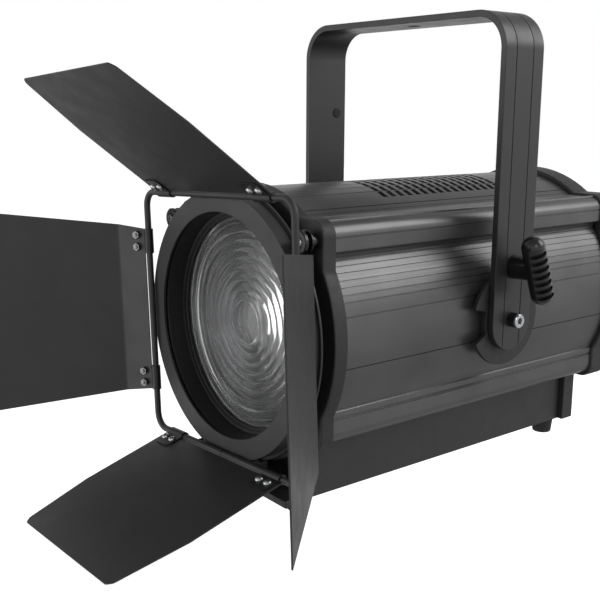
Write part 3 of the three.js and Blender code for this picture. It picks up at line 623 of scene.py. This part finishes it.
def side_panel(side):
    """One extruded side: an ear along its top, the round flank with its grooves, and a lower ear."""
    edge = math.degrees(math.asin(64.3 / BODY_R))
    flank = [58.7, 61.5, 64.6, 67.4, 70.4, 73.2, 78.8, 99.5]
    outer = polar([(edge, BODY_R)])
    outer += [(66.4, 98.0), (71, 98.0), (71.5, 97.3), (72.3, 97.3), (72.8, 98.0), (90.5, 98.0)]
    outer += outline_arc(94.2, 97.6, 1.6, 150, 0, 6) + [(95.9, 96.2)]
    outer += outline_arc(92.5, 86, 12, 68, 2, 8)
    outer += [(104.5, 86.2), (103.9, 85.7), (103.9, 85.1), (104.5, 84.6), (104.5, 75.4), (104.2, 74.2),
              (103.4, 73.5), (101.0, 72.6), (98.8, 71.2), (97.9, 69.6)]
    outer += polar([(55.0, BODY_R), (55.7, BODY_R), (56.0, BODY_R - 0.8), (56.3, BODY_R - 0.8), (56.6, BODY_R)])
    outer += polar(arc_with_grooves(57.0, 117.6, flank, BODY_R))
    outer += [(104.6, -56.4), (103.7, -57.2), (103.7, -58.0), (104.5, -58.8), (104.5, -63.2), (103.8, -63.7),
              (103.8, -64.3), (104.5, -64.8), (103.8, -65.3), (103.8, -65.9), (104.5, -66.4)]
    outer += outline_arc(92.5, -76, 12, 0, -90, 8) + [(90.3, -88)]
    inner = [(90.3, -85), (92.5, -85)] + outline_arc(92.5, -76, 9, -80, 0, 5) + [(101.5, -59.5)]
    inner += polar([(a, BODY_R - 3) for a in range(117, 57, -3)])
    inner += [(95.2, 68.8), (97.4, 74.5), (101.2, 76)] + outline_arc(92.5, 86, 9, 0, 80, 5)
    inner += [(72, 95), (67.4, 95)]
    inner += polar([(edge, BODY_R - 3)])
    panel = prism(outer + inner, BODY_FRONT + 0.3, BODY_REAR - 0.3)
    return moved(panel, MIRROR_X) if side < 0 else panel


for name, side in (("right", 1), ("left", -1)):
    piece(f"side_extrusion_{name}", side_panel(side), ANODISED, "head",
          [f"side_panel_{name}"], sharp=24)
finish_node("bottom_plate", POWDER, 0.0003)


def cap_outline(r, half, top, bottom, corner, flat=False):
    """The section of the end caps: a circle joined to a round-cornered rectangle."""
    side_z = math.sqrt(r * r - half * half)
    top_x = math.sqrt(r * r - top * top)
    start = math.degrees(math.atan2(top_x, top))
    meet = math.degrees(math.atan2(half, side_z))
    line = polar([(start * k / 8, r) for k in range(9)])
    line += outline_arc(half - corner, top - corner, corner, 90, 0, 10)
    line += polar([(meet + (180 - 2 * meet) * k / 24, r) for k in range(25)])
    line += outline_arc(half - corner, bottom + corner, corner, 0, -90, 10)
    if flat:
        line += [(half / 2, bottom), (0, bottom)]
    else:
        low = math.degrees(math.atan2(math.sqrt(r * r - bottom * bottom), -bottom))
        line += polar([(180 - low + low * k / 12, r) for k in range(13)])
    return line + [(-x, z) for x, z in line[-2:0:-1]]


def front_cap():
    """A solid plate, bored out for the lens tube."""
    outline = cap_outline(CAP_R, CAP_HALF, CAP_TOP, CAP_BOTTOM, 14)
    bore = [(0, -205), (106.4, -205), (106.4, -197.4), (105.6, -196.6), (105.6, -180), (0, -180)]
    return carved(soften(prism(outline, FRONT_FACE, BODY_FRONT), 1.6, 3, 50), lathe(bore, 128))


piece("front_end_cap", front_cap(), CAP, "head", ["front_cap"])


def rear_cap():
    """A frame round the rear panel."""
    rim = 9
    outer = cap_outline(CAP_R, CAP_HALF, CAP_TOP, CAP_BOTTOM, 14, True)
    inner = cap_outline(CAP_R - rim, CAP_HALF - rim, CAP_TOP - rim, CAP_BOTTOM + rim, 5, True)
    return soften(hoop(outer, inner, BODY_REAR, REAR_FACE), 2.0, 3, 50)


piece("rear_end_cap", rear_cap(), CAP, "head", ["rear_cap"])


# ------------------------------------------------------------------ lens, barrel and rollers

def barrel():
    """The lens tube: a rounded lip, a stepped bore and the shoulder behind the glass."""
    lip = [(99, -217.5), (99.6, -218.7), (101, -219), (103.6, -219), (104.7, -218.4), (105, -217)]
    bore = [(105, -184.3), (90, -184.3), (90, -189.6), (97.2, -189.6), (97.2, -201.5), (99, -202.3)]
    return lathe(lip + bore, 128)


def lens():
    """The stepped glass: a plain rim, eight zones that rise towards the middle, and a domed centre."""
    face, zones, pitch, flat = LENS_FACE, 8, 8.45, 21
    profile = [(0, LENS_BACK), (93.5, LENS_BACK), (94.8, LENS_BACK - 0.6), (95, face + 0.8), (94.4, face),
               (92.6, face + 0.2), (92.0, face + 1.0), (90.8, face + 1.0), (90.2, face)]
    for k in range(zones, 0, -1):
        outer = flat + k * pitch
        profile += [(outer + 0.1, face - 1.0), (outer - 0.25, face - 1.05), (outer - 0.45, face - 0.7),
                    (outer - 0.9, face + 2.2), (outer - 1.3, face + 2.35)]
        for share in (0.2, 0.4, 0.6, 0.8, 0.98):
            rise = 3.2 * (1 - (1 - share) ** 1.5)
            profile.append((outer - 1.3 - (pitch - 1.6) * share, face + 2.3 - rise))
    profile += [(flat - 0.1, face - 1.0), (flat - 0.5, face + 0.9), (flat - 1.1, face + 1.1)]
    for share in (0.9, 0.75, 0.5, 0.25):
        profile.append((flat * share, face - 0.3 - 3.0 * (1 - share * share)))
    return lathe(profile + [(0, face - 3.3)], 160)


def retainer():
    """The ring that holds the glass in the tube."""
    return lathe([(98.6, -201), (94.2, -201), (93.4, -200.4), (93.4, -197.8), (94, -197.3), (97.2, -197.3),
                  (98.6, -198)], 128)


piece("lens_tube", barrel(), BARREL, "head", ["lens_barrel"])
piece("stepped_lens", lens(), GLASS, "head", ["fresnel_lens"], sharp=40)
piece("lens_retainer", retainer(), BARREL, "head", ["lens_ring"])


def roller():
    """A grooved wheel with a front flange, a thin rear disc and a screw through its middle."""
    wheel = [(0, 1.0), (4.6, 1.0), (5.4, 0), (8.9, 0), (9.6, 0.7), (9.6, 3.0), (9.0, 3.6), (6.4, 4.1), (6.4, 6.7),
             (9.2, 7.0), (9.6, 7.4), (9.6, 8.1), (9.2, 8.4), (6.2, 8.7)]
    return lathe([(r, ROLLER_FRONT + y) for r, y in wheel] + [(6.2, FRONT_FACE + 0.1), (0, FRONT_FACE + 0.1)], 48)


for name, side in (("right", 1), ("left", -1)):
    x, z = side * ROLLER_CENTRE * math.cos(ROLLER_ANGLE), ROLLER_CENTRE * math.sin(ROLLER_ANGLE)
    wheel = moved(roller(), Matrix.Translation((x, 0, z)))
    piece(f"roller_{name}", wheel, GLOSSY, "head", [f"ring_roller_{name}"])
    pin = moved(screw_head(4.1, 2.6), facing((x, ROLLER_FRONT + 0.9, z), (0, -1, 0)))
    # The left screw is a darker copy of the right zinc one: painted shade.
    piece(f"roller_screw_{name}", pin, ZINC if side > 0 else NICKEL_PAINTED_SHADE, "head")


# ------------------------------------------------------------------ barn door

def ring_plate():
    """The flat ring, its wall and the flange that runs in the rollers."""
    face = [(99, -222.9), (99.4, -223.3), (117.0, -223.3), (117.5, -223.1), (117.7, -222.6)]
    flange = [(117.7, -210.2), (120.2, -210.0), (120.5, -209.7), (120.5, -208.2), (120.2, -208), (115.7, -208)]
    return lathe(face + flange + [(115.7, -221.3), (99, -221.3)], 160)


piece("front_ring", ring_plate(), POWDER, "barn_door", ["ring_plate"], BARN)


def rod_frame():
    """A round rod bent to a square, its ends meeting in the middle of the lower side."""
    straight = FRAME_HALF - FRAME_BEND
    path = [((0.35, -FRAME_HALF), 270)]
    for sx, sz, start in ((1, -1, 270), (1, 1, 0), (-1, 1, 90), (-1, -1, 180)):
        for k in range(9):
            a = start + 90 * k / 8
            path.append(((sx * straight + FRAME_BEND * math.cos(math.radians(a)),
                          sz * straight + FRAME_BEND * math.sin(math.radians(a))), a))
    path.append(((-0.35, -FRAME_HALF), 270))
    stations = []
    section = [2 * PI * k / 20 for k in range(20)]
    for (x, z), a in path:
        nx, nz = math.cos(math.radians(a)), math.sin(math.radians(a))
        stations.append([(x + ROD_R * math.cos(t) * nx, FRAME_Y + ROD_R * math.sin(t), z + ROD_R * math.cos(t) * nz)
                         for t in section])
    return swept(stations)


piece("bent_rod", rod_frame(), POWDER, "barn_door", ["rod_frame"], BARN)

# Each leaf: its turn round the lens axis and its opening in degrees, its shift along the rod, its clips' places.
HINGES = {
    "top": (0, 37.7, 0, (-76, 76)),
    "left": (-90, 62.9, 1, (-66.3, 66.3)),
    "bottom": (180, 16.2, 0, (-76, 76)),
    "right": (90, 72.5, 7, (-66.3, 66.3)),
}


def hinge_place(turn, opening, slid):
    """The frame of a leaf: x along its rod, y out into the leaf, z from its inner face."""
    return (BARN @ Matrix.Rotation(math.radians(turn), 4, "Y") @ Matrix.Translation((slid, FRAME_Y, FRAME_HALF))
            @ Matrix.Rotation(math.radians(180 - opening), 4, "X"))


def wide_leaf():
    """A flat sheet with its outer corners cut off."""
    half = [(91.5, 4.6), (89.7, 93.3), (79.4, 153.7), (78.6, 155.6), (75.2, 158.9), (73.4, 159.7)]
    outline = half + [(-u, v) for u, v in half[::-1]]
    return soften(prism(outline, -0.6, 0.6, "Z"), 0.28, 2, 60)


def side_leaf():
    """Folded along a line near the hinge, with a small radius in the fold."""
    near, fold, panel = 4.6, 34.9, 127.8
    near_half, fold_half, far_half = 77.9, 81.9, 97.6
    bend, radius = math.radians(28.9), 7.0
    reach = radius * math.tan(bend / 2)
    line = [(near, 0.0, 0.0), (fold - reach, 0.0, 0.0)]
    for k in range(1, 7):
        a = bend * k / 6
        line.append((fold - reach + radius * math.sin(a), radius * (1 - math.cos(a)), -a))
    line.append((fold + panel * math.cos(bend), panel * math.sin(bend), -bend))
    t, e = 0.6, 0.28
    stations = []
    for v, z, a in line:
        if v <= fold:
            half = near_half + (fold_half - near_half) * (v - near) / (fold - near)
        else:
            half = fold_half + (far_half - fold_half) * math.hypot(v - fold, z) / panel
        ring = [(-half + e, t), (half - e, t), (half - e * 0.3, t - e * 0.3), (half, t - e), (half, -t + e),
                (half - e * 0.3, -t + e * 0.3), (half - e, -t), (-half + e, -t), (-half + e * 0.3, -t + e * 0.3),
                (-half, -t + e), (-half, t - e), (-half + e * 0.3, t - e * 0.3)]
        stations.append([(u, v + math.sin(a) * d, z + math.cos(a) * d) for u, d in ring])
    return swept(stations)


def arc_points(r, degrees):
    return [(r * math.cos(math.radians(a)), r * math.sin(math.radians(a))) for a in degrees]


def clip(u, inner):
    """A sheet clip wrapped behind the rod; its tongue lies on the leaf's inner or outer face."""
    w, sheet, corner, level = 11.5, 1.1, 5, 0.75
    inside = ROD_R + 0.2
    outside = inside + sheet
    round_rod = range(40, 341, 12)
    wrap = prism(arc_points(outside, round_rod) + arc_points(inside, round_rod[::-1]), -w, w, "X")
    tongue = outline_arc(w - corner, 15.4, corner, 0, 90, 5) + outline_arc(-w + corner, 15.4, corner, 90, 180, 5)
    tongue = [(w, 2.2), *tongue, (-w, 2.2)]
    plate = soften(prism(tongue, level, level + sheet, "Z"), 0.25, 2, 60)
    knee = arc_points(outside, (95, 80, 65, 50, 40)) + [(4.4, level + sheet), (4.4, level)]
    bridge = prism(knee + arc_points(inside, (40, 70, 95)), -w, w, "X")
    whole = moved(merged(wrap, plate, bridge), Matrix.Scale(1 if inner else -1, 4, (0, 0, 1)))
    return moved(whole, Matrix.Translation((u, 0, 0)))


def clip_fasteners(spots, wide):
    """The screws through the clips and the leaf, and the nuts on its other face."""
    along, out = (10.8, 1) if wide else (12.8, -1)
    heads, nuts = [], []
    for u in spots:
        for offset in (-5.7, 5.7):
            heads.append(moved(screw_head(3.6, 2.5), facing((u + offset, along, 1.8 * out), (0, 0, out))))
            nuts.append(moved(nut(3.9, 3.1), facing((u + offset, along, -0.6 * out), (0, 0, -out))))
    return merged(*heads), merged(*nuts)


for name, (turn, opening, slid, spots) in HINGES.items():
    place = hinge_place(turn, opening, slid)
    wide = name in ("top", "bottom")
    body = f"leaf_{name}"
    piece(f"door_leaf_{name}", wide_leaf() if wide else side_leaf(), LEAF, body,
          [f"leaf_{name}"], place, 30)
    for number, u in enumerate(spots, 1):
        piece(f"rod_clip_{name}_{number}", clip(u, wide), CLIP, body, [f"clip_{name}_{number}"],
              place)
    heads, nuts = clip_fasteners(spots, wide)
    piece(f"clip_screws_{name}", heads, ZINC, body, (), place)
    piece(f"clip_nuts_{name}", nuts, NUT, body, (), place)


# ------------------------------------------------------------------ carried-over nodes

finish_node("box_shell", POWDER, 0.0008)
for node in ("box_front_cap", "box_rear_cap"):
    finish_node(node, CAP, 0.0012)
for node in ("foot_front_right", "foot_front_left", "foot_rear_right", "foot_rear_left"):
    finish_node(node, RUBBER, 0.0008)
finish_node("rear_panel", POWDER, 0.0002)
finish_node("display_window", SCREEN, 0.0004)
finish_node("power_inlet", CAP, 0.0006)
finish_node("data_sockets", NICKEL, 0.0005)
finish_node("safety_eye", ZINC)
finish_node("power_supply", MILL, 0.0008)
for node in ("guide_rod_right", "guide_rod_left", "lead_screw"):
    finish_node(node, GROUND, 0.0003)
finish_node("zoom_motor", CAP, 0.0008)
finish_node("zoom_carriage", MILL, 0.0004)
finish_node("heat_sink", MILL, 0.0002)
finish_node("fan_frame", CAP, 0.0006)
finish_node("fan_rotor", GLOSSY, 0.0002)
finish_node("led_board", BOARD, 0.0002)
finish_node("control_board", BOARD, 0.0002)
finish_node("led_emitter", PHOSPHOR, 0.0003)
for number in (1, 2, 3, 4):
    finish_node(f"menu_button_{number}", GLOSSY, 0.0006)


# ------------------------------------------------------------------ floor, light and camera

def floor():
    """Pale paper below the hanging light, with a faint glow of its own so that it stays even."""
    look = Look("floor_paper", grey(0.9), 0.9, Emission_Color=(1, 1, 1, 1), Emission_Strength=0.55)
    look.color(look.ramp(look.noise(3, 2), (0.3, grey(0.9)), (0.7, grey(0.93))))
    bm = bmesh.new()
    bmesh.ops.create_grid(bm, x_segments=2, y_segments=2, size=6)
    made = as_object(moved(bm, Matrix.Translation((0, 0, FLOOR_Z))), "floor")
    made.data.materials.append(look.material)
    made.visible_diffuse = made.visible_glossy = made.visible_transmission = made.visible_shadow = False


floor()


def area_light(name, where, size, power, target=(0, 0, -0.25)):
    data = bpy.data.lights.new(name, "AREA")
    data.shape, data.size, data.size_y, data.energy = "RECTANGLE", size[0], size[1], power
    lamp = bpy.data.objects.new(name, data)
    bpy.context.scene.collection.objects.link(lamp)
    lamp.location = where
    lamp.rotation_euler = (Vector(target) - Vector(where)).to_track_quat("-Z", "Y").to_euler()
    lamp.visible_camera = False


area_light("rim", (1.25, 1.35, 1.05), (1.3, 1.3), 22)
area_light("front", (-0.85, -2.0, -0.45), (1.3, 2.2), 13)
area_light("side", (2.2, -0.9, 0.9), (0.8, 0.8), 6)


def studio_world():
    """A white backdrop all round, brightest at eye level and dim overhead and underfoot."""
    world = bpy.data.worlds.new("studio")
    world.use_nodes = True
    tree = world.node_tree
    lit = tree.nodes["Background"]
    place = tree.nodes.new("ShaderNodeTexCoord")
    split = tree.nodes.new("ShaderNodeSeparateXYZ")
    height = tree.nodes.new("ShaderNodeMapRange")
    height.inputs["From Min"].default_value, height.inputs["From Max"].default_value = -1, 1
    ramp = tree.nodes.new("ShaderNodeValToRGB")
    stops = [(0.0, 0.42), (0.25, 0.52), (0.4, 0.8), (0.5, 1.0), (0.62, 0.9), (0.8, 0.5), (1.0, 0.4)]
    ramp.color_ramp.elements[0].position, ramp.color_ramp.elements[1].position = stops[0][0], stops[-1][0]
    for at, _ in stops[1:-1]:
        ramp.color_ramp.elements.new(at)
    for element, (_, value) in zip(ramp.color_ramp.elements, stops):
        element.color = (value, value, value, 1)
    backdrop = tree.nodes.new("ShaderNodeBackground")
    backdrop.inputs["Color"].default_value = (1, 1, 1, 1)
    path = tree.nodes.new("ShaderNodeLightPath")
    mix = tree.nodes.new("ShaderNodeMixShader")
    tree.links.new(place.outputs["Generated"], split.inputs["Vector"])
    tree.links.new(split.outputs["Z"], height.inputs["Value"])
    tree.links.new(height.outputs["Result"], ramp.inputs["Fac"])
    tree.links.new(ramp.outputs["Color"], lit.inputs["Color"])
    tree.links.new(path.outputs["Is Camera Ray"], mix.inputs["Fac"])
    tree.links.new(lit.outputs["Background"], mix.inputs[1])
    tree.links.new(backdrop.outputs["Background"], mix.inputs[2])
    tree.links.new(mix.outputs["Shader"], tree.nodes["World Output"].inputs["Surface"])
    bpy.context.scene.world = world


studio_world()

camera = bpy.data.objects.new("camera", bpy.data.cameras.new("camera"))
bpy.context.scene.collection.objects.link(camera)
bpy.context.scene.camera = camera
camera.data.lens, camera.data.sensor_width = 55.12, 36
camera.data.clip_start, camera.data.clip_end = 0.01, 50
back = Vector((0.77062, -0.60335, 0.20555))
right = Vector((0.61571, 0.78796, 0.00450))
up = back.cross(right)
camera.matrix_world = Matrix.Translation((0.6506, -0.6461, -0.0819)) @ Matrix(
    (right, up, back)).transposed().to_4x4()
bpy.context.scene.view_settings.view_transform = "Standard"
